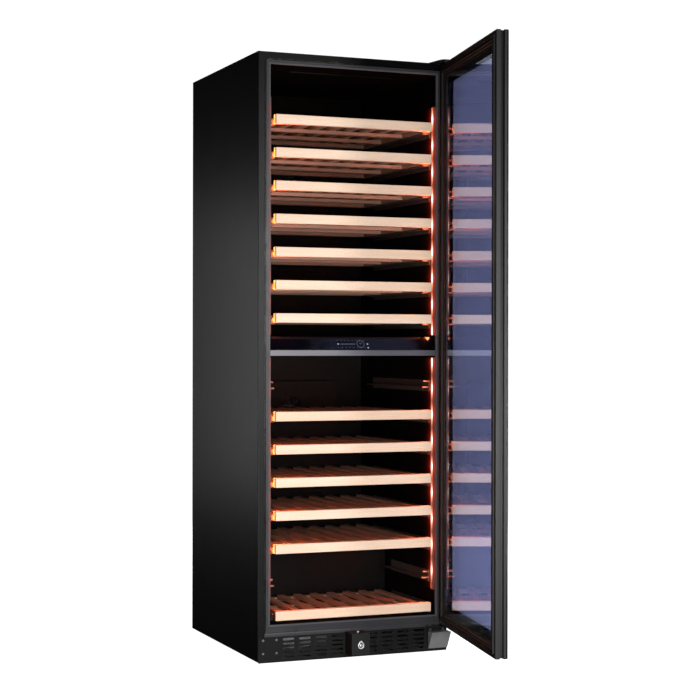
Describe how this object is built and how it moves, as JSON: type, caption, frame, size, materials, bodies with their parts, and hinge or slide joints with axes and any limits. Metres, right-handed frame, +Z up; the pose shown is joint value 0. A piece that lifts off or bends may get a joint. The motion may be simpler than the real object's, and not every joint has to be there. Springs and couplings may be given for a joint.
{
  "type": "wine cooler",
  "caption": "Tall dual-zone wine cooler with sliding slatted wooden shelves, lit side walls, a divider with a touch panel, an open framed glass door and a lockable kick plate.",
  "frame": {"origin": "floor level under the centre of the cabinet, without the door", "axes": "+Z up, -Y out of the cabinet's open front towards the user, +X to the user's right, where the door is hinged"},
  "size_m": [0.6089, 1.2341, 1.7695],
  "materials": {
    "shell_paint": "satin",
    "frame_plastic": "satin",
    "liner_plastic": "satin",
    "foam": "matte",
    "zinc_sheet": "satin",
    "black_steel": "matte",
    "lock_black": "satin",
    "beech": "satin",
    "divider_aluminium": "satin",
    "panel_gloss": "gloss",
    "circuit_board": "gloss",
    "guide_plastic": "satin",
    "channel_plastic": "matte",
    "cover_grey": "matte",
    "cover_black": "satin",
    "chrome": "polished",
    "screw_steel": "satin",
    "compressor_paint": "satin",
    "rubber": "matte",
    "gasket_rubber": "matte",
    "copper": "satin",
    "fin_aluminium": "satin",
    "fan_plastic": "satin",
    "motor_steel": "satin",
    "tray_plastic": "satin",
    "bush_nylon": "satin",
    "door_profile": "satin",
    "spacer": "satin",
    "foot_plastic": "matte",
    "led_lens": "gloss",
    "face_glass": "gloss",
    "pane_glass": "gloss"
  },
  "bodies": {
    "root": {"outer_shell": "shell_paint", "back_panel": "zinc_sheet", "insulation_foam": "foam", "inner_liner": "liner_plastic", "front_frame": "frame_plastic", "shelf_guides": "guide_plastic", "zone_divider": "foam", "divider_trim": "divider_aluminium", "control_panel": "panel_gloss", "control_board": "circuit_board", "led_channels": "channel_plastic", "led_lenses": "led_lens", "base_pan": "zinc_sheet", "kick_plate": "black_steel", "lock_housing": "lock_black", "bottom_hinge_bracket": "black_steel", "bottom_hinge_cover": "cover_grey", "top_hinge_bracket": "black_steel", "top_hinge_cover": "cover_black", "screws": "screw_steel", "upper_fan_cover": "liner_plastic", "lower_fan_cover": "liner_plastic", "upper_evaporator": "fin_aluminium", "lower_evaporator": "fin_aluminium", "fan_motors": "motor_steel", "condenser": "fin_aluminium", "condenser_fan_shroud": "fan_plastic", "compressor": "compressor_paint", "compressor_grommets": "rubber", "drip_tray": "tray_plastic", "refrigerant_pipes": "copper", "power_inlet": "cover_black"},
    "door": {"door_frame": "door_profile", "outer_glass": "face_glass", "insulating_glass": "pane_glass", "glass_spacer": "spacer", "door_gasket": "gasket_rubber", "hinge_bushes": "bush_nylon"},
    "upper_fan": {"upper_fan_rotor": "fan_plastic"},
    "lower_fan": {"lower_fan_rotor": "fan_plastic"},
    "condenser_fan": {"condenser_fan_rotor": "fan_plastic"},
    "lock_key": {"lock_cylinder": "chrome"},
    "lock_bolt": {"lock_bolt": "screw_steel"},
    "shelf_01": {"shelf_01": "beech"},
    "shelf_02": {"shelf_02": "beech"},
    "shelf_03": {"shelf_03": "beech"},
    "shelf_04": {"shelf_04": "beech"},
    "shelf_05": {"shelf_05": "beech"},
    "shelf_06": {"shelf_06": "beech"},
    "shelf_07": {"shelf_07": "beech"},
    "shelf_08": {"shelf_08": "beech"},
    "shelf_09": {"shelf_09": "beech"},
    "shelf_10": {"shelf_10": "beech"},
    "shelf_11": {"shelf_11": "beech"},
    "shelf_12": {"shelf_12": "beech"},
    "shelf_13": {"shelf_13": "beech"},
    "levelling_foot_1": {"levelling_foot_1": "foot_plastic"},
    "levelling_foot_2": {"levelling_foot_2": "foot_plastic"},
    "levelling_foot_3": {"levelling_foot_3": "foot_plastic"},
    "levelling_foot_4": {"levelling_foot_4": "foot_plastic"}
  },
  "joints": [
    {"name": "door_hinge", "type": "hinge", "parent": "root", "child": "door", "pos_m": [0.2846, -0.337, 0.92], "axis": [0, 0, 1], "range_deg": [-79, 26]},
    {"name": "shelf_01_slide", "type": "slide", "parent": "root", "child": "shelf_01", "axis": [0, -1, 0], "range_m": [0, 0.13]},
    {"name": "shelf_02_slide", "type": "slide", "parent": "root", "child": "shelf_02", "axis": [0, -1, 0], "range_m": [0, 0.13]},
    {"name": "shelf_03_slide", "type": "slide", "parent": "root", "child": "shelf_03", "axis": [0, -1, 0], "range_m": [0, 0.13]},
    {"name": "shelf_04_slide", "type": "slide", "parent": "root", "child": "shelf_04", "axis": [0, -1, 0], "range_m": [0, 0.13]},
    {"name": "shelf_05_slide", "type": "slide", "parent": "root", "child": "shelf_05", "axis": [0, -1, 0], "range_m": [0, 0.13]},
    {"name": "shelf_06_slide", "type": "slide", "parent": "root", "child": "shelf_06", "axis": [0, -1, 0], "range_m": [0, 0.13]},
    {"name": "shelf_07_slide", "type": "slide", "parent": "root", "child": "shelf_07", "axis": [0, -1, 0], "range_m": [0, 0.13]},
    {"name": "shelf_08_slide", "type": "slide", "parent": "root", "child": "shelf_08", "axis": [0, -1, 0], "range_m": [0, 0.13]},
    {"name": "shelf_09_slide", "type": "slide", "parent": "root", "child": "shelf_09", "axis": [0, -1, 0], "range_m": [0, 0.13]},
    {"name": "shelf_10_slide", "type": "slide", "parent": "root", "child": "shelf_10", "axis": [0, -1, 0], "range_m": [0, 0.13]},
    {"name": "shelf_11_slide", "type": "slide", "parent": "root", "child": "shelf_11", "axis": [0, -1, 0], "range_m": [0, 0.13]},
    {"name": "shelf_12_slide", "type": "slide", "parent": "root", "child": "shelf_12", "axis": [0, -1, 0], "range_m": [0, 0.13]},
    {"name": "shelf_13_slide", "type": "slide", "parent": "root", "child": "shelf_13", "axis": [0, -1, 0], "range_m": [0, 0.13]},
    {"name": "upper_fan_spin", "type": "hinge", "parent": "root", "child": "upper_fan", "pos_m": [0, 0.235, 1.47], "axis": [0, 1, 0], "continuous": true},
    {"name": "lower_fan_spin", "type": "hinge", "parent": "root", "child": "lower_fan", "pos_m": [0, 0.235, 0.71], "axis": [0, 1, 0], "continuous": true},
    {"name": "condenser_fan_spin", "type": "hinge", "parent": "root", "child": "condenser_fan", "pos_m": [0.16, 0.177, 0.11], "axis": [0, 1, 0], "continuous": true},
    {"name": "key_turn", "type": "hinge", "parent": "root", "child": "lock_key", "pos_m": [0, -0.37, 0.0446], "axis": [0, 1, 0], "range_deg": [0, 90]},
    {"name": "bolt_lift", "type": "slide", "parent": "root", "child": "lock_bolt", "axis": [0, 0, 1], "range_m": [0, 0.0119]},
    {"name": "levelling_foot_1_screw", "type": "slide", "parent": "root", "child": "levelling_foot_1", "axis": [0, 0, -1], "range_m": [0, 0.015]},
    {"name": "levelling_foot_2_screw", "type": "slide", "parent": "root", "child": "levelling_foot_2", "axis": [0, 0, -1], "range_m": [0, 0.015]},
    {"name": "levelling_foot_3_screw", "type": "slide", "parent": "root", "child": "levelling_foot_3", "axis": [0, 0, -1], "range_m": [0, 0.015]},
    {"name": "levelling_foot_4_screw", "type": "slide", "parent": "root", "child": "levelling_foot_4", "axis": [0, 0, -1], "range_m": [0, 0.015]}
  ],
  "couplings": [
    {"joint": "key_turn", "follows": "bolt_lift", "rad_per_m": 131.58}
  ]
}
